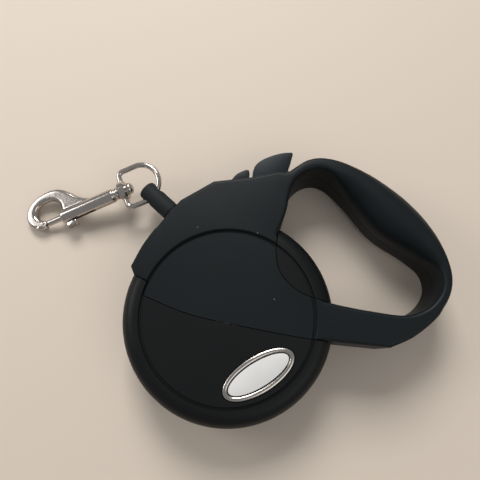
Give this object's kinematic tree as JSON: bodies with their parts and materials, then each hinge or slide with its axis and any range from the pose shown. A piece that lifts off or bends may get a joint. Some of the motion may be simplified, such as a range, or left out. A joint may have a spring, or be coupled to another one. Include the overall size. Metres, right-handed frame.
{
  "type": "retractable leash",
  "caption": "Retractable cord leash: round reel case with hood and hand loop, brake and lock buttons, end sleeve, swivel ring and bolt snap hook.",
  "frame": {"origin": "on the reel's axis, at the flat rear face on which the leash lies", "axes": "+X towards the hand loop, +Y towards the hood and its buttons, +Z out of the front face along the reel's axis"},
  "size_m": [0.1854, 0.1161, 0.027],
  "materials": {
    "case_plastic": "fine matte moulded black with a slight blue cast",
    "button_plastic": "satin moulded black",
    "reel_plastic": "moulded black, unseen",
    "steel": "plain steel",
    "brass": "plain brass",
    "chrome_trim": "polished rim",
    "badge_plain": "one plain pale colour, blank",
    "nickel": "satin nickel with a warm cast",
    "sleeve_rubber": "matte black rubber",
    "cord": "black braided cord"
  },
  "bodies": {
    "case": {"front_handle_frame": "case_plastic", "rear_handle_frame": "case_plastic", "front_hand_loop": "case_plastic", "rear_hand_loop": "case_plastic", "front_reel_case": "case_plastic", "rear_reel_case": "case_plastic", "reel_axle": "steel", "rear_axle_washer": "brass", "front_axle_washer": "brass", "cord_outlet_bush": "steel", "badge_bezel": "chrome_trim", "badge_plate": "badge_plain", "case_screw_1": "steel", "case_screw_2": "steel", "case_screw_3": "steel", "case_screw_4": "steel", "case_screw_5": "steel", "case_screw_6": "steel", "brake_spring": "steel"},
    "reel": {"cord_spool": "reel_plastic", "spring_cover": "reel_plastic", "cord_winding": "cord", "mainspring": "steel"},
    "brake": {"brake_button": "button_plastic"},
    "lock": {"lock_slider": "button_plastic"},
    "leash_end": {"end_sleeve": "sleeve_rubber", "cord_lead": "cord", "cord_ferrule": "brass"},
    "ring": {"swivel_ring": "nickel"},
    "snap": {"snap_hook": "nickel", "swivel_post": "nickel", "bolt_spring": "steel"},
    "bolt": {"snap_bolt": "nickel", "bolt_stud": "nickel"}
  },
  "joints": [
    {"name": "leash_pull", "type": "slide", "parent": "case", "child": "leash_end", "axis": [-0.7321, 0.6812, 0], "range_m": [0, 3], "stiffness_N_per_m": 0.8, "springref_m": -2, "deforming": ["cord_lead"]},
    {"name": "reel_spin", "type": "hinge", "parent": "case", "child": "reel", "pos_m": [0, 0, 0.0135], "axis": [0, 0, 1], "range_deg": [0, 6300], "deforming": ["mainspring"]},
    {"name": "brake_press", "type": "slide", "parent": "case", "child": "brake", "axis": [-0.2, -0.9798, 0], "range_m": [0, 0.0035], "stiffness_N_per_m": 600, "springref_m": -0.0015, "deforming": ["brake_spring"]},
    {"name": "lock_slide", "type": "slide", "parent": "case", "child": "lock", "axis": [-1, 0, 0], "range_m": [0, 0.0035]},
    {"name": "ring_swing", "type": "hinge", "parent": "leash_end", "child": "ring", "pos_m": [-0.03376, 0.05469, 0.0135], "axis": [0.665, 0.7261, 0.1747], "range_deg": [-90, 90]},
    {"name": "snap_swivel", "type": "hinge", "parent": "ring", "child": "snap", "pos_m": [-0.04795, 0.0578, 0.01107], "axis": [-0.919, -0.3423, -0.1954], "continuous": true},
    {"name": "bolt_draw", "type": "slide", "parent": "snap", "child": "bolt", "axis": [0.919, 0.3423, 0.1954], "range_m": [0, 0.0072], "stiffness_N_per_m": 150, "springref_m": -0.004, "deforming": ["bolt_spring"]}
  ],
  "couplings": [
    {"joint": "reel_spin", "follows": "leash_pull", "rad_per_m": 36.652}
  ]
}
